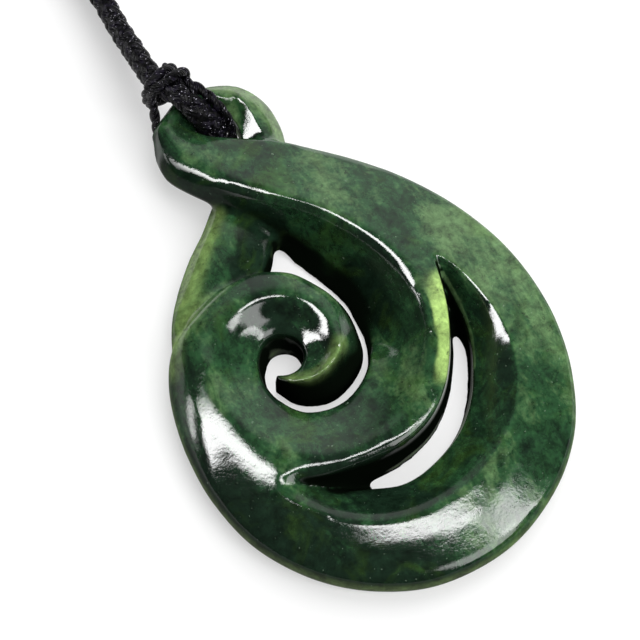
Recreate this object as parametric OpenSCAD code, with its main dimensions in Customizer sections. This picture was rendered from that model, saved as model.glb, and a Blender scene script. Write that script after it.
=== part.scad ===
// Greenstone twist pendant with a koru spiral, lying on its back, on a plaited neck cord.
// The eye points along +Y, the carved face looks up, and the back lies on the ground plane.

/* [Stone] */
// Length from the foot of the disc to the top of the eye
stone_length = 67; // [60:1:76]
// Thickness at the highest ridge
stone_thickness = 8.5; // [8:0.5:10]
// Longest facet along the carved edges
facet_length = 1.1; // [1:0.1:3]

/* [Cord] */
// Diameter of the plaited neck cord
plait_d = 2.8; // [2.2:0.1:2.9]
// Diameter of the single strands that bind it to the eye
strand_d = 1.2; // [1:0.1:1.3]
// Distance between the rings of the neck cord's tube
ring_spacing = 14; // [8:1:16]

/* [Hidden] */

// The tables below are drawn for a stone of this length and thickness.
drawn_length = 67;
drawn_thickness = 8.5;
plan_scale = stone_length / drawn_length;
height_scale = stone_thickness / drawn_thickness;
// Shift that brings the middle of the stone's outline over the origin
centring = [0.1, 0.5, 0];

// Places across the face, as shares of its width: inner side up to the ridge, outer side down to the rim
inner_shares = [0.25, 0.5, 0.75];
outer_shares = [0.25, 0.5, 0.75, 0.9];
// Places across each side of the back strand, and how far these sides bulge
strand_shares = [0.33, 0.67];
strand_crown = 0.4;
// Share of the outer wall, from its belly up to the rim, that stands upright
upright_share = 0.45;
// Width of the bevel along the crescent's brow, and its slope
brow_run = 1.5;
brow_slope = 0.5;
// How far the crescent's cutter reaches past its rim, as a share of its long slope
past_share = 0.5;
// Bevel along the back's edges
back_bevel = 0.6;
// Small bevel along the front's inner edges
lip_bevel = 0.3;
// Least number of steps from one row of a table to the next
least_steps = 2;
// Sides of a cord's tube
tube_sides = 8;
// Spacing of a thin strand's rings, in diameters
strand_rings = 3;
// How far the cutter reaches above the face
overshoot = 4;

// One row for each cross-section of the spiral band, from the koru's tip, round the disc and up the arm.
// lip: upper edge of the inner wall and its height. foot: how far that wall's foot stands out under it.
// ridge: the ridge line. out: widest point of the outer side, and the height of the rim above it.
// lean: how far the rim stands in from the widest point. belly: height of the widest point.
// crown: rise of the outer face above a straight line. hollow: dip of the inner face, or its bulge where
// it is below zero. base: underside.
// lip_x, lip_y, lip_z, foot, ridge_x, ridge_y, ridge_z, out_x, out_y, out_z, lean, belly, crown, hollow, base
band_rows = [
    [-9.5, -3.7, 4.8, 0, -9.7, -3.9, 5.1, -10.0, -4.3, 4.6, 0.1, 0.8, 0, 0, 0],
    [-8.5, -4.4, 5.2, 0, -9.0, -5.2, 6.0, -9.4, -5.8, 5.0, 0.3, 0.8, 0, 0, 0],
    [-7.1, -4.4, 5.3, 0, -7.5, -6.4, 6.8, -7.8, -7.5, 5.3, 0.6, 0.6, 0, 0.1, 0],
    [-6.3, -3.9, 5.2, 0.1, -5.6, -6.8, 7.2, -4.8, -8.5, 5.2, 1.1, 0.6, 0, 0.2, 0],
    [-5.7, -3.3, 5.0, 0.3, -3.3, -6.1, 7.5, -1.6, -7.6, 5.1, 1.5, 0.6, 0, 0.3, 0],
    [-5.4, -2.6, 5.0, 0.5, -1.8, -4.8, 7.6, 0.8, -5.7, 5.5, 1.6, 0.6, 0, 0.3, 0],
    [-5.3, -1.8, 5.0, 0.7, -1.2, -3.0, 7.8, 1.5, -3.1, 6.2, 1.6, 0.6, 0.1, 0.4, 0],
    [-5.5, -1.0, 5.0, 0.9, -1.2, -1.1, 8.0, 1.7, -0.8, 6.4, 1.3, 0.6, 0.2, 0.4, 0],
    [-5.9, -0.2, 5.0, 1.3, -1.7, 0.9, 8.0, 1.3, 1.5, 6.4, 1.0, 0.6, 0.2, 0.5, 0],
    [-6.5, 0.3, 5.0, 1.3, -2.9, 2.8, 8.0, -0.1, 4.1, 6.4, 0.8, 0.6, 0.2, 0.5, 0],
    [-7.4, 0.6, 5.0, 1.3, -4.7, 4.2, 8.0, -2.2, 6.6, 6.4, 0.6, 0.6, 0.2, 0.5, 0],
    [-8.4, 0.6, 5.0, 1.3, -7.0, 5.0, 8.0, -5.7, 8.4, 6.3, 0.5, 0.6, 0.2, 0.5, 0],
    [-9.3, 0.2, 5.0, 1.2, -9.6, 5.1, 8.0, -9.4, 8.6, 6.2, 0.4, 0.6, 0.2, 0.5, 0],
    [-10.1, -0.5, 5.0, 1.1, -12.1, 4.5, 8.0, -13.0, 7.8, 6.1, 0.4, 0.8, 0.2, 0.5, 0],
    [-10.7, -1.4, 5.0, 0.9, -14.3, 3.1, 7.9, -16.0, 6.3, 6.0, 0.3, 1.0, 0.3, 0.5, 0],
    [-11.1, -2.6, 4.8, 0.8, -15.8, 1.3, 7.8, -18.8, 4.8, 5.2, 0.4, 1.5, 0.5, 0.4, 0],
    [-11.2, -4.2, 4.6, 0.6, -16.6, -0.8, 7.6, -20.8, 1.7, 4.2, 0.5, 1.8, 0.7, 0.3, 0],
    [-10.9, -5.7, 4.5, 0.3, -16.8, -3.4, 7.5, -22.1, -2.2, 4.0, 0.5, 2.0, 0.8, 0.2, 0],
    [-10.4, -6.9, 4.5, 0.2, -16.4, -6.4, 7.4, -22.9, -7.3, 4.0, 0.5, 2.0, 0.9, 0.1, 0],
    [-9.7, -8.1, 4.5, 0.3, -15.3, -9.6, 7.3, -22.8, -13.4, 4.0, 0.5, 2.0, 0.9, 0.1, 0],
    [-8.6, -9.2, 4.5, 0.2, -13.0, -12.8, 7.3, -21.0, -20.4, 4.0, 0.5, 2.0, 0.9, 0.1, 0],
    [-7.0, -9.9, 4.5, 0.1, -9.9, -15.1, 7.3, -16.7, -26.9, 4.0, 0.5, 2.0, 0.9, 0.1, 0],
    [-5.1, -10.2, 4.5, 0.1, -6.5, -16.3, 7.4, -10.9, -31.5, 4.0, 0.5, 2.0, 0.9, 0.2, 0],
    [-3.2, -9.9, 4.5, 0.1, -3.0, -16.5, 7.6, -4.0, -34.1, 4.0, 0.5, 2.0, 0.9, 0.3, 0],
    [-1.4, -9.0, 4.4, 0, 0.5, -15.7, 7.8, 4.6, -33.9, 4.0, 0.5, 2.0, 0.9, 0.4, 0],
    [0.1, -7.8, 4.2, 0, 3.6, -13.8, 8.0, 12.3, -30.5, 4.1, 0.5, 2.0, 0.9, 0.5, 0],
    [1.2, -6.2, 3.4, 0, 6.0, -11.4, 8.2, 17.8, -25.4, 4.2, 0.5, 2.1, 0.8, 0.6, 0],
    [2.0, -4.2, 1.6, 0, 7.7, -8.7, 8.4, 21.1, -19.0, 4.4, 0.5, 2.2, 0.7, 0.6, 0],
    [2.3, -1.9, 0.9, 0, 8.8, -5.7, 8.5, 22.6, -12.6, 4.6, 0.5, 2.4, 0.6, 0.5, 0],
    [2.4, 0.6, 0.9, 0.1, 9.2, -2.4, 8.5, 22.7, -6.7, 4.7, 0.5, 2.5, 0.5, 0.4, 0],
    [1.9, 3.2, 0.9, 0.2, 8.8, 1.1, 8.5, 21.9, -1.6, 4.8, 0.5, 2.6, 0.5, 0.3, 0],
    [1.1, 5.6, 0.9, 0.3, 7.6, 4.5, 8.5, 20.4, 3.0, 4.8, 0.5, 2.6, 0.5, 0.2, 0],
    [0.1, 8.1, 0.9, 0.4, 5.9, 7.7, 8.5, 18.3, 7.4, 4.8, 0.5, 2.6, 0.5, 0.1, 0],
    [-1.0, 10.6, 1.2, 0.2, 3.9, 10.7, 8.5, 15.3, 12.0, 4.8, 0.5, 2.7, 0.5, -0.1, 0.2],
    [-2.3, 12.9, 2.6, 0, 1.5, 13.4, 8.5, 11.7, 16.2, 4.8, 0.5, 2.9, 0.4, -0.3, 1.0],
    [-3.8, 15.2, 4.0, 0, -1.0, 16.0, 8.4, 7.8, 19.8, 5.0, 0.5, 3.4, 0.4, -0.5, 2.4],
    [-5.3, 17.4, 4.6, 0.1, -3.2, 18.4, 8.2, 4.0, 22.7, 5.6, 0.3, 4.0, 0.3, -0.7, 3.2],
    [-6.9, 19.6, 4.8, 0, -5.1, 20.5, 8.0, 0.5, 24.6, 6.0, 0.3, 4.4, 0.3, -0.8, 3.4],
    [-8.4, 21.8, 4.8, 0, -6.7, 22.5, 7.7, -2.4, 26.3, 6.2, 0.3, 4.6, 0.3, -0.9, 3.4],
    [-9.5, 24.1, 4.8, 0.2, -7.9, 24.6, 7.3, -4.2, 28.2, 6.2, 0.3, 4.6, 0.2, -0.9, 3.4],
    [-9.7, 26.4, 4.8, 0.1, -8.4, 26.9, 7.0, -5.4, 29.6, 6.4, 0.3, 4.6, 0.2, -0.9, 3.4],
    [-9.2, 28.5, 4.8, 0.1, -8.1, 28.9, 6.9, -5.6, 30.8, 6.4, 0.3, 4.6, 0.1, -0.8, 3.5],
    [-8.3, 29.9, 4.8, 0, -7.5, 30.1, 6.7, -5.5, 31.3, 6.3, 0.2, 4.5, 0, -0.5, 3.8],
];

// One row for each cross-section of the back strand, from under the disc, beneath the arm and round the eye.
// left_x, left_y, left_z, crest_x, crest_y, crest_z, right_x, right_y, right_z, base
strand_rows = [
    [-20.4, -1.0, 3.0, -15.0, 0.0, 4.4, -10.0, 1.4, 3.0, 0],
    [-18.9, 4.3, 3.2, -14.8, 4.2, 4.8, -9.0, 4.2, 3.0, 0],
    [-17.0, 8.3, 3.4, -13.3, 7.5, 5.0, -7.2, 6.2, 3.0, 0],
    [-14.4, 11.6, 3.4, -11.2, 10.3, 5.2, -5.4, 7.7, 3.2, 0],
    [-11.6, 14.4, 3.4, -9.1, 12.8, 5.2, -3.8, 9.0, 3.2, 0],
    [-8.5, 16.9, 3.4, -6.7, 15.3, 5.0, -2.4, 10.7, 3.2, 0],
    [-6.0, 19.4, 3.2, -4.3, 17.7, 4.6, -0.7, 13.0, 3.0, 0],
    [-3.0, 21.5, 3.2, -1.3, 19.8, 4.4, 1.8, 16.0, 3.0, 0],
    [-0.1, 23.0, 3.4, 1.7, 21.4, 4.8, 4.0, 19.0, 3.0, 0],
    [0.8, 24.6, 3.8, 3.2, 23.4, 5.2, 5.4, 22.2, 3.2, 0],
    [1.2, 26.2, 4.0, 3.0, 25.7, 5.3, 6.0, 25.3, 3.4, 0],
    [1.2, 27.8, 4.2, 2.7, 28.0, 5.6, 5.7, 28.5, 3.6, 0.2],
    [0.5, 28.8, 4.5, 1.7, 29.9, 6.0, 3.9, 31.6, 3.8, 1.0],
    [-0.9, 29.5, 4.7, -0.2, 31.2, 6.4, 0.9, 32.9, 4.4, 2.4],
    [-2.1, 29.6, 4.8, -2.4, 31.7, 6.7, -2.7, 33.3, 4.9, 3.2],
    [-3.0, 28.7, 5.0, -5.2, 31.0, 6.8, -6.0, 31.8, 5.1, 3.4],
    [-3.3, 27.9, 5.2, -6.9, 29.5, 6.6, -8.6, 30.0, 5.1, 3.4],
    [-3.6, 27.0, 5.2, -7.4, 27.4, 6.2, -9.0, 27.4, 5.0, 3.5],
];

// One row for each cross-section of the crescent that is cut out of the disc, from its upper tip to its lower.
// brow: inner rim. heel: foot of the inner wall. toe: foot of the outer wall. floor: their height, where the
// cut goes right through below the back. step: top of the steep outer wall. rim: outer rim of the long slope.
// brow_x, brow_y, brow_z, heel_x, heel_y, toe_x, toe_y, floor, step_x, step_y, step_z, rim_x, rim_y, rim_z
crescent_rows = [
    [12.95, 0.2, 8.0, 13.0, 0.1, 13.05, 0.1, 7.7, 13.1, 0.1, 7.8, 13.15, 0.2, 8.0],
    [12.6, -1.7, 7.8, 12.8, -1.9, 12.9, -1.9, 5.2, 13.1, -2.0, 5.9, 14.1, -1.4, 7.6],
    [12.0, -4.0, 7.9, 12.4, -4.3, 12.6, -4.4, 2.4, 13.3, -4.5, 4.8, 15.1, -3.8, 7.4],
    [11.2, -6.5, 8.1, 11.9, -6.8, 12.3, -7.0, 0.7, 13.2, -7.3, 4.2, 15.8, -6.9, 7.2],
    [9.9, -9.4, 8.1, 10.9, -9.6, 11.8, -9.9, -1, 12.6, -10.2, 3.8, 16.2, -10.4, 7.1],
    [8.2, -12.4, 8.0, 9.0, -12.6, 10.5, -12.9, -1, 11.2, -13.2, 3.6, 16.0, -14.0, 7.0],
    [6.1, -15.1, 7.7, 6.6, -15.4, 8.4, -16.0, -1, 9.3, -16.3, 3.4, 14.7, -17.8, 6.9],
    [3.1, -17.4, 7.4, 3.3, -17.7, 5.6, -18.7, -1, 6.1, -19.3, 3.2, 11.4, -22.2, 6.8],
    [-0.8, -18.6, 7.1, -0.5, -18.9, 1.6, -20.5, -1, 1.8, -21.2, 3.0, 6.0, -25.5, 6.8],
    [-4.4, -18.6, 6.9, -3.9, -19.2, -2.5, -21.2, -1, -2.4, -21.8, 3.0, 0.4, -26.9, 6.8],
    [-7.7, -18.2, 6.8, -6.9, -19.0, -6.4, -19.9, 0.8, -6.4, -20.4, 2.8, -5.2, -26.5, 6.8],
    [-10.5, -17.6, 6.7, -10.0, -18.4, -9.9, -18.8, 3.2, -10.0, -19.2, 3.9, -9.8, -24.6, 6.8],
    [-13.0, -16.7, 6.6, -12.8, -17.4, -12.8, -17.6, 5.0, -12.9, -17.8, 5.3, -13.1, -21.6, 6.7],
    [-14.8, -16.4, 6.8, -14.8, -16.8, -14.8, -16.9, 6.2, -14.9, -17.0, 6.3, -15.0, -18.8, 6.7],
    [-15.9, -16.6, 7.0, -15.9, -16.7, -15.9, -16.75, 6.8, -15.95, -16.8, 6.85, -16.0, -16.9, 7.0],
];

// Route of the neck cord: from inside the eye, over the rim, out of the knot, round and back under itself.
neck_route = [
    [-4.8, 26.8, 1.6], [-3.6, 26.5, 1.6], [-2.6, 26.5, 1.8], [-1.9, 26.9, 2.7], [-1.7, 27.5, 4.3],
    [-2.1, 28.2, 6.2], [-2.8, 29.3, 7.5], [-3.6, 31.1, 8.4], [-4.7, 33.0, 8.2], [-5.2, 34.6, 7.7],
    [-5.5, 36.4, 7.3], [-5.6, 38.6, 6.8], [-5.6, 41.2, 6.1], [-5.7, 44.0, 5.5], [-5.6, 47.4, 4.9],
    [-5.7, 51.5, 4.6],
    [-6.2, 57, 4.0], [-8.2, 64, 2.4], [-13, 75, 1.5], [-24, 96, 1.5], [-38, 124, 1.5], [-49, 154, 1.5],
    [-55, 186, 1.5], [-55, 218, 1.5], [-48, 248, 1.5], [-33, 271, 1.5], [-11, 282, 1.5], [12, 279, 1.5],
    [32, 264, 1.5], [46, 240, 1.5], [51, 210, 1.5], [49, 178, 1.5], [41, 146, 1.5], [29, 116, 1.5],
    [15, 91, 1.5], [3, 73, 1.5], [-3.4, 61, 1.5], [-4.8, 53, 1.5], [-5.1, 47.4, 1.8], [-5.1, 42, 2.8],
    [-5.0, 37.6, 3.9], [-4.9, 34.4, 4.6],
];

// Route of the strand that runs beside the neck cord from the knot into the eye.
side_route = [
    [-3.3, 36.6, 7.1], [-2.8, 35.0, 7.3], [-2.0, 33.4, 7.6], [-1.1, 31.9, 7.9], [-0.5, 30.4, 7.9],
    [0.0, 29.0, 7.2], [0.4, 28.0, 5.8], [0.5, 27.4, 4.2], [0.4, 26.9, 2.4], [0.1, 26.2, 1.1], [-0.3, 25.5, 0.9],
];

// Route of the strand that binds the knot: from under the arm, round its end, and twice round both cords.
hitch_route = [
    [-6.0, 28.6, 0.9], [-6.7, 29.8, 0.9], [-7.1, 31.0, 1.3], [-7.1, 31.9, 2.5], [-6.9, 32.6, 4.1],
    [-6.9, 33.1, 5.6], [-7.1, 33.5, 7.4], [-6.6, 33.6, 9.2], [-5.0, 33.4, 10.2], [-3.5, 33.3, 10.2],
    [-2.2, 33.2, 9.6], [-1.0, 33.3, 8.9], [-0.5, 33.6, 7.6], [-1.1, 34.1, 5.4], [-2.8, 34.6, 3.0],
    [-5.0, 34.8, 2.2], [-6.9, 34.8, 3.3], [-7.5, 34.9, 5.6], [-7.5, 34.9, 7.7], [-6.7, 34.8, 9.3],
    [-5.3, 34.7, 10.0], [-3.9, 34.6, 9.7], [-2.8, 34.7, 9.1], [-1.8, 34.9, 8.7], [-1.1, 35.2, 7.6],
];

// Catmull-Rom value between b and c, for numbers or whole rows.
function curve(a, b, c, d, t) =
    0.5 * (2 * b + (c - a) * t + (2 * a - 5 * b + 4 * c - d) * t * t + (3 * b - a - 3 * c + d) * t * t * t);

// The row at place t after row i.
function between(rows, i, t) =
    let (last = len(rows) - 1)
    curve(rows[max(i - 1, 0)], rows[i], rows[min(i + 1, last)], rows[min(i + 2, last)], t);

// A table made finer, with steps from row i to the next given by a list.
function refined(rows, steps) = [
    for (i = [0:len(rows) - 2]) for (k = [0:steps[i] - 1]) between(rows, i, k / steps[i]),
    rows[len(rows) - 1],
];

// Steps that keep the distance between two columns' places under a length.
function steps_for(rows, column, length) = [
    for (i = [0:len(rows) - 2])
        max(least_steps, ceil(norm([
            rows[i + 1][column] - rows[i][column],
            rows[i + 1][column + 1] - rows[i][column + 1],
        ]) / length))
];

function mix(a, b, share) = a + (b - a) * share;

// A closed polyhedron through rings of points, all of one length.
module loft(rings) {
    n = len(rings[0]);
    last = len(rings) - 1;
    polyhedron(
        points = [for (ring = rings) each ring],
        faces = [
            [for (k = [0:n - 1]) k],
            for (j = [0:last - 1]) for (k = [0:n - 1]) each [
                [j * n + k, (j + 1) * n + k, (j + 1) * n + (k + 1) % n],
                [j * n + k, (j + 1) * n + (k + 1) % n, j * n + (k + 1) % n],
            ],
            [for (k = [n - 1:-1:0]) last * n + k],
        ],
        convexity = 10
    );
}

// Height of a bulge of one unit across a face, at a share of its width.
function bulge(share) = 4 * share * (1 - share);

// Points of a face between two edges, each [x, y] and a height, bulging out or in by a rise.
function face_points(a, a_z, b, b_z, rise, shares) =
    [for (share = shares) [each mix(a, b, share), mix(a_z, b_z, share) + rise * bulge(share)]];

// Cross-section of the spiral band: up the inner wall, over the ridge and down the outer wall.
function band_ring(r) =
    let (
        lip = [r[0], r[1]],
        lip_z = r[2],
        ridge = [r[4], r[5]],
        ridge_z = r[6],
        out = [r[7], r[8]],
        rim_z = r[9],
        belly_z = r[11],
        base = max(0, r[14]),
        outward = (out - ridge) / norm(out - ridge),
        inward = (lip - ridge) / norm(lip - ridge),
        foot = lip + inward * r[3],
        brow = lip - inward * lip_bevel,
        rim = out - outward * r[10]
    )
    [
        [each foot - inward * back_bevel, base],
        [each foot, min(base + back_bevel, mix(base, lip_z, 0.5))],
        [each lip, lip_z - lip_bevel],
        [each brow, lip_z],
        each face_points(brow, lip_z, ridge, ridge_z, -r[13], inner_shares),
        [each ridge, ridge_z],
        each face_points(ridge, ridge_z, rim, rim_z, r[12], outer_shares),
        [each rim, rim_z],
        [each out, mix(belly_z, rim_z, upright_share)],
        [each out, belly_z],
        [each out - outward * back_bevel, base],
    ];

// Cross-section of the back strand.
function strand_ring(r) =
    let (
        left = [r[0], r[1]],
        left_z = r[2],
        crest = [r[3], r[4]],
        crest_z = r[5],
        right = [r[6], r[7]],
        right_z = r[8],
        base = max(0, r[9]),
        to_left = (left - crest) / norm(left - crest),
        to_right = (right - crest) / norm(right - crest),
        left_brow = left - to_left * lip_bevel,
        right_brow = right - to_right * lip_bevel
    )
    [
        [each left - to_left * back_bevel, base],
        [each left, base + back_bevel],
        [each left, left_z - lip_bevel],
        [each left_brow, left_z],
        each face_points(left_brow, left_z, crest, crest_z, strand_crown, strand_shares),
        [each crest, crest_z],
        each face_points(crest, crest_z, right_brow, right_z, strand_crown, strand_shares),
        [each right_brow, right_z],
        [each right, right_z - lip_bevel],
        [each right, base + back_bevel],
        [each right - to_right * back_bevel, base],
    ];

// Cross-section of the crescent cutter: down the bevelled brow and the inner wall, across the floor and up the long slope.
function crescent_ring(r) =
    let (
        brow = [r[0], r[1]],
        floor_z = r[7],
        step = [r[8], r[9], r[10]],
        rim = [r[11], r[12], r[13]],
        across = ([r[11], r[12]] - brow) / norm([r[11], r[12]] - brow),
        past = rim + (rim - step) * past_share,
        top = drawn_thickness + overshoot
    )
    [
        [each brow - across * brow_run, top],
        [each brow - across * brow_run, r[2] + brow_run * brow_slope],
        [each brow, r[2]],
        [r[3], r[4], floor_z],
        [r[5], r[6], floor_z],
        step,
        rim,
        past,
        [past[0], past[1], top],
    ];

module spiral_band() {
    rows = refined(band_rows, steps_for(band_rows, 7, facet_length));
    loft([for (row = rows) band_ring(row)]);
}

module back_strand() {
    rows = refined(strand_rows, steps_for(strand_rows, 0, facet_length));
    loft([for (row = rows) strand_ring(row)]);
}

module crescent() {
    rows = refined(crescent_rows, steps_for(crescent_rows, 11, facet_length));
    loft([for (row = rows) crescent_ring(row)]);
}

// One carved piece of stone.
module pendant_stone() {
    color("#3c6142")
        scale([plan_scale, plan_scale, height_scale])
            translate(centring)
                union() {
                    difference() {
                        spiral_band();
                        crescent();
                    }
                    back_strand();
                }
}

// Direction of travel at point i of a line.
function heading(line, i) =
    let (step = line[min(i + 1, len(line) - 1)] - line[max(i - 1, 0)])
    step / norm(step);

// The part of v that is square to a direction, at length one.
function square_to(v, direction) =
    let (flat = v - direction * (v * direction))
    flat / norm(flat);

// Rings of a tube round a line, turned as little as possible from one to the next.
function tube_rings(line, d, sides) = [
    for (
        i = 0, side = square_to([0, 0, 1], heading(line, 0));
        i < len(line);
        i = i + 1, side = i < len(line) ? square_to(side, heading(line, i)) : side
    )
        let (other = cross(heading(line, i), side))
        [for (k = [0:sides - 1]) line[i] + (side * cos(360 * k / sides) + other * sin(360 * k / sides)) * d / 2]
];

function routed(points, spacing) =
    let (
        steps = [for (i = [0:len(points) - 2]) max(1, round(norm(points[i + 1] - points[i]) / spacing))],
        placed = [for (p = points) p + centring],
        scaled = [for (p = placed) [p[0] * plan_scale, p[1] * plan_scale, p[2] * height_scale]]
    )
    refined(scaled, steps);

module tube(points, d, spacing) {
    loft(tube_rings(routed(points, spacing), d, tube_sides));
}

module neck_cord() {
    color("#17151a") tube(neck_route, plait_d, ring_spacing);
}

module side_strand() {
    color("#201d24") tube(side_route, strand_d, strand_d * strand_rings);
}

module hitch_strand() {
    color("#201d24") tube(hitch_route, strand_d, strand_d * strand_rings);
}

pendant_stone();
neck_cord();
side_strand();
hitch_strand();
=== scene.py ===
# Greenstone twist pendant with a koru spiral, lying on its back, on a plaited black neck cord.
# Routes, lines and spots are in millimetres, as the stone was drawn. toFrame() brings them into the frame.
import math
import time

import bmesh
import bpy
import numpy as np
from mathutils import Matrix, Vector
from mathutils.bvhtree import BVHTree
from mathutils.kdtree import KDTree


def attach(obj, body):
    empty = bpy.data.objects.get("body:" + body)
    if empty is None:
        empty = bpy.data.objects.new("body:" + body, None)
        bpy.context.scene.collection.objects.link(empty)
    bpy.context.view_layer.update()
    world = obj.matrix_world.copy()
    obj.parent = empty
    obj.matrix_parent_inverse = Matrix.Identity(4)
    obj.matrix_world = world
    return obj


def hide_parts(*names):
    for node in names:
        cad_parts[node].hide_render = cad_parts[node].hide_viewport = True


started = time.time()
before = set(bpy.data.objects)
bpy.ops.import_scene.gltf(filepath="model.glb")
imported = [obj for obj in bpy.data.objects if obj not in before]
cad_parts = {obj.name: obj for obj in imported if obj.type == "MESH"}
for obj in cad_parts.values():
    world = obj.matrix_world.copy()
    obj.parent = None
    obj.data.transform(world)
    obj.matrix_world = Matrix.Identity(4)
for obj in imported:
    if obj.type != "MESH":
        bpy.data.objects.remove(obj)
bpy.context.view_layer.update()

millimetre = 0.001
# Shift that brings the middle of the stone's outline over the origin
centring = (0.1, 0.5, 0.0)


def stage(text):
    print(f"{time.time() - started:5.1f} s  {text}")


def toFrame(points):
    return (np.array(points, float) + centring) * millimetre


def linear(code):
    # An sRGB hex colour as the linear colour that Blender's sockets take
    shares = [int(code[i:i + 2], 16) / 255 for i in (1, 3, 5)]
    return tuple(s / 12.92 if s <= 0.04045 else ((s + 0.055) / 1.055) ** 2.4 for s in shares) + (1.0,)


def addNode(tree, kind, inputs=None, **settings):
    # An input is a value, a socket, or a node that gives its first live output.
    # A colour mix has its share at 0 and its two colours at 6 and 7.
    made = tree.nodes.new("ShaderNode" + kind)
    for name, value in settings.items():
        setattr(made, name, value)
    for socket, value in (inputs or {}).items():
        if isinstance(value, bpy.types.Node):
            value = next(output for output in value.outputs if output.enabled)
        if isinstance(value, bpy.types.NodeSocket):
            tree.links.new(value, made.inputs[socket])
        else:
            made.inputs[socket].default_value = value
    return made


def startMaterial(name):
    made = bpy.data.materials.new(name)
    made.use_nodes = True
    made.node_tree.nodes.clear()
    return made, made.node_tree


def layColour(tree, colour, pattern, look):
    # Lays a colour over another: none up to one value of the pattern, and in full from another on
    shown = addNode(tree, "MapRange", {"Value": pattern, "From Min": look["none"], "From Max": look["full"]},
                    interpolation_type="SMOOTHSTEP")
    share = addNode(tree, "Math", {0: shown, 1: look["strength"]}, operation="MULTIPLY")
    return addNode(tree, "Mix", {0: share, 6: colour, 7: linear(look["colour"])}, data_type="RGBA")


# The photograph's view: from 0.34 m, 22 degrees off straight down
cameraView = {
    "location": (-0.06075, -0.11044, 0.31524),
    "target": (-0.000956, 0.002022, 0.0),
    "turn": -28,    # degrees from +X to the picture's right edge
    "lens": 162.6,  # millimetres
    "sensor": 36,
}


def makeCamera(look):
    data = bpy.data.cameras.new("camera")
    data.lens = look["lens"]
    data.sensor_width = look["sensor"]
    data.clip_start = 0.01
    made = bpy.data.objects.new("camera", data)
    turn = math.radians(look["turn"])
    right = Vector((math.cos(turn), math.sin(turn), 0))
    forward = (Vector(look["target"]) - Vector(look["location"])).normalized()
    up = right.cross(forward)
    turned = Matrix((right, up, -forward)).transposed().to_4x4()
    made.matrix_world = Matrix.Translation(look["location"]) @ turned
    bpy.context.scene.collection.objects.link(made)
    bpy.context.scene.camera = made


makeCamera(cameraView)
stage("camera")


# Routes of the cords, as in the CAD part. The first is the neck cord's whole loop.
neckRoute = [
    (-4.8, 26.8, 1.6), (-3.7, 26.5, 1.6), (-2.6, 26.5, 1.8), (-1.9, 26.9, 2.7), (-1.7, 27.5, 4.3),
    (-2.1, 28.2, 6.2), (-2.8, 29.3, 7.5), (-3.6, 31.1, 8.4), (-4.7, 33.0, 8.2), (-5.2, 34.6, 7.7),
    (-5.5, 36.4, 7.3), (-5.6, 38.6, 6.8), (-5.6, 41.2, 6.1), (-5.7, 44.0, 5.5), (-5.6, 47.4, 4.9),
    (-5.7, 51.5, 4.6), (-6.2, 57, 4.0), (-8.2, 64, 2.4), (-13, 75, 1.5), (-24, 96, 1.5),
    (-38, 124, 1.5), (-49, 154, 1.5), (-55, 186, 1.5), (-55, 218, 1.5), (-48, 248, 1.5),
    (-33, 271, 1.5), (-11, 282, 1.5), (12, 279, 1.5), (32, 264, 1.5), (46, 240, 1.5),
    (51, 210, 1.5), (49, 178, 1.5), (41, 146, 1.5), (29, 116, 1.5), (15, 91, 1.5),
    (3, 73, 1.5), (-3.4, 61, 1.5), (-4.8, 53, 1.5), (-5.1, 47.4, 1.8), (-5.1, 42, 2.8),
    (-5.0, 37.6, 3.9), (-4.9, 34.4, 4.6),
]
sideRoute = [
    (-3.7, 36.6, 7.1), (-3.3, 35.0, 7.5), (-2.5, 33.4, 7.9), (-1.7, 31.9, 8.2), (-0.9, 30.4, 8.0),
    (-0.3, 29.0, 7.2), (0.2, 28.0, 5.8), (0.4, 27.4, 4.2), (0.4, 26.9, 2.4), (0.1, 26.2, 1.1),
    (-0.3, 25.5, 0.9),
]
hitchRoute = [
    (-6.0, 28.6, 0.9), (-6.7, 29.8, 0.9), (-7.1, 31.0, 1.3), (-7.1, 31.9, 2.5), (-6.9, 32.6, 4.1),
    (-6.8, 33.1, 5.6), (-6.8, 33.4, 7.4), (-6.3, 33.3, 9.1), (-5.1, 33.3, 9.9), (-3.9, 33.5, 9.9),
    (-2.8, 33.8, 9.4), (-2.1, 34.0, 8.6), (-1.9, 34.1, 7.5), (-2.1, 34.2, 5.6), (-3.0, 34.5, 3.4),
    (-5.0, 34.7, 2.8), (-6.6, 34.5, 3.8), (-7.0, 34.3, 5.8), (-6.9, 34.2, 7.7), (-6.3, 34.3, 9.0),
    (-5.3, 34.5, 9.7), (-4.3, 34.8, 9.5), (-3.5, 35.1, 8.9), (-3.0, 35.4, 8.0), (-2.9, 35.5, 7.0),
]


def smoothRoute(points, steps=24):
    # Catmull-Rom curve through the points
    padded = [points[0], *points, points[-1]]
    made = []
    for i in range(1, len(padded) - 2):
        a, b, c, d = (padded[i + k] for k in (-1, 0, 1, 2))
        for k in range(steps):
            t = k / steps
            made.append(0.5 * (2 * b + (c - a) * t + (2 * a - 5 * b + 4 * c - d) * t * t
                               + (3 * b - a - 3 * c + d) * t * t * t))
    made.append(padded[-1])
    return np.array(made)


def placesAlong(line, fineLength, fineStep, coarseStep):
    # Points along a line with the distance of each from the start: close together first, wider apart later
    gaps = np.linalg.norm(np.diff(line, axis=0), axis=1)
    distance = np.concatenate([[0], np.cumsum(gaps)])
    fine = np.arange(0, min(fineLength, distance[-1]), fineStep)
    coarse = np.arange(fine[-1] + coarseStep, distance[-1], coarseStep)
    places = np.concatenate([fine, coarse, [distance[-1]]])
    return np.stack([np.interp(places, distance, line[:, axis]) for axis in range(3)], axis=1), places


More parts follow.
